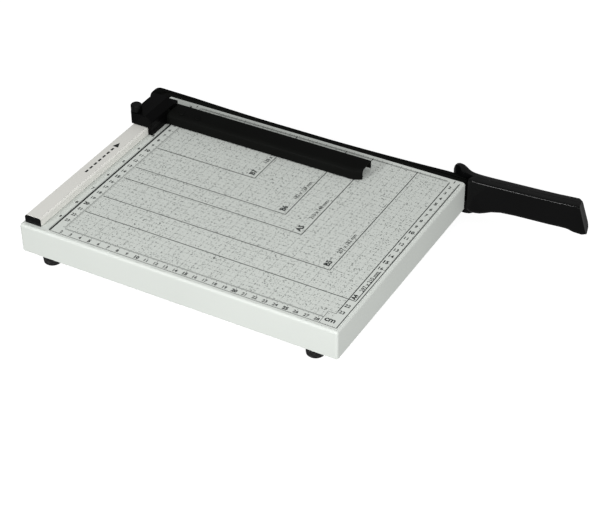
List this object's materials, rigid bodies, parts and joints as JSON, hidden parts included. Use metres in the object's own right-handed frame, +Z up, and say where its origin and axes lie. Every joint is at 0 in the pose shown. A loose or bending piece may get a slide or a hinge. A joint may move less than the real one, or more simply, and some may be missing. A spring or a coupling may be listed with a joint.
{
  "type": "guillotine paper cutter",
  "caption": "Desktop guillotine paper cutter: a low table with printed sheet sizes, a paper stop, a hinged paper clamp and a pivoting knife arm with a moulded handle.",
  "frame": {"origin": "centre of the cutter's outer box, on the plane the feet stand on", "axes": "+X along the cut, from the pivot to the handle; +Y towards the cutting edge at the back; +Z up"},
  "size_m": [0.473, 0.268, 0.073],
  "materials": {
    "table_paint": "satin grey-green enamel with printed grid",
    "fence_paint": "satin warm grey enamel",
    "black_paint": "black stove enamel",
    "black_plastic": "moulded, fine texture",
    "rubber": "matt",
    "steel": "zinc plated",
    "ground_steel": "ground",
    "bronze": "plain bearing"
  },
  "bodies": {
    "base": {"base_tray": "table_paint", "foot_rail_front": "steel", "foot_rail_back": "steel", "foot_1": "rubber", "foot_2": "rubber", "foot_3": "rubber", "foot_4": "rubber", "foot_screw_1": "steel", "foot_screw_2": "steel", "foot_screw_3": "steel", "foot_screw_4": "steel", "foot_nut_1": "steel", "foot_nut_2": "steel", "foot_nut_3": "steel", "foot_nut_4": "steel", "fence": "fence_paint", "fence_core": "steel", "fence_end_cap": "black_plastic", "fence_screw_1": "steel", "fence_screw_2": "steel", "fence_screw_3": "steel", "counter_blade": "black_paint", "counter_blade_screw_1": "steel", "counter_blade_screw_2": "steel", "counter_blade_screw_3": "steel", "counter_blade_screw_4": "steel", "counter_blade_screw_5": "steel", "pivot_stud": "steel", "pivot_spacer": "black_paint", "pivot_washer": "steel", "pivot_disc_spring": "steel", "pivot_nut": "steel", "hinge_block": "black_plastic", "hinge_block_screw_1": "steel", "hinge_block_screw_2": "steel", "guard_knob": "black_plastic", "clamp_pin": "steel", "clamp_spring": "steel"},
    "arm": {"arm_bar": "black_paint", "knife": "ground_steel", "knife_screw_1": "steel", "knife_screw_2": "steel", "knife_screw_3": "steel", "knife_screw_4": "steel", "handle_front": "black_plastic", "handle_back": "black_plastic", "handle_screw_1": "steel", "handle_screw_2": "steel", "pivot_bush": "bronze"},
    "clamp": {"clamp_bar": "black_paint", "clamp_pad": "rubber", "clamp_tongue": "black_paint", "clamp_rivet_1": "black_paint", "clamp_rivet_2": "black_paint"}
  },
  "joints": [
    {"name": "arm_pivot", "type": "hinge", "parent": "base", "child": "arm", "pos_m": [-0.2249, 0.1205, 0.0325], "axis": [0, -1, 0], "range_deg": [0, 70]},
    {"name": "clamp_hinge", "type": "hinge", "parent": "base", "child": "clamp", "pos_m": [-0.1939, 0.1205, 0.0574], "axis": [0, -1, 0], "range_deg": [0, 7]}
  ],
  "couplings": [
    {"joint": "clamp_hinge", "follows": "arm_pivot", "ratio": 0.1}
  ]
}
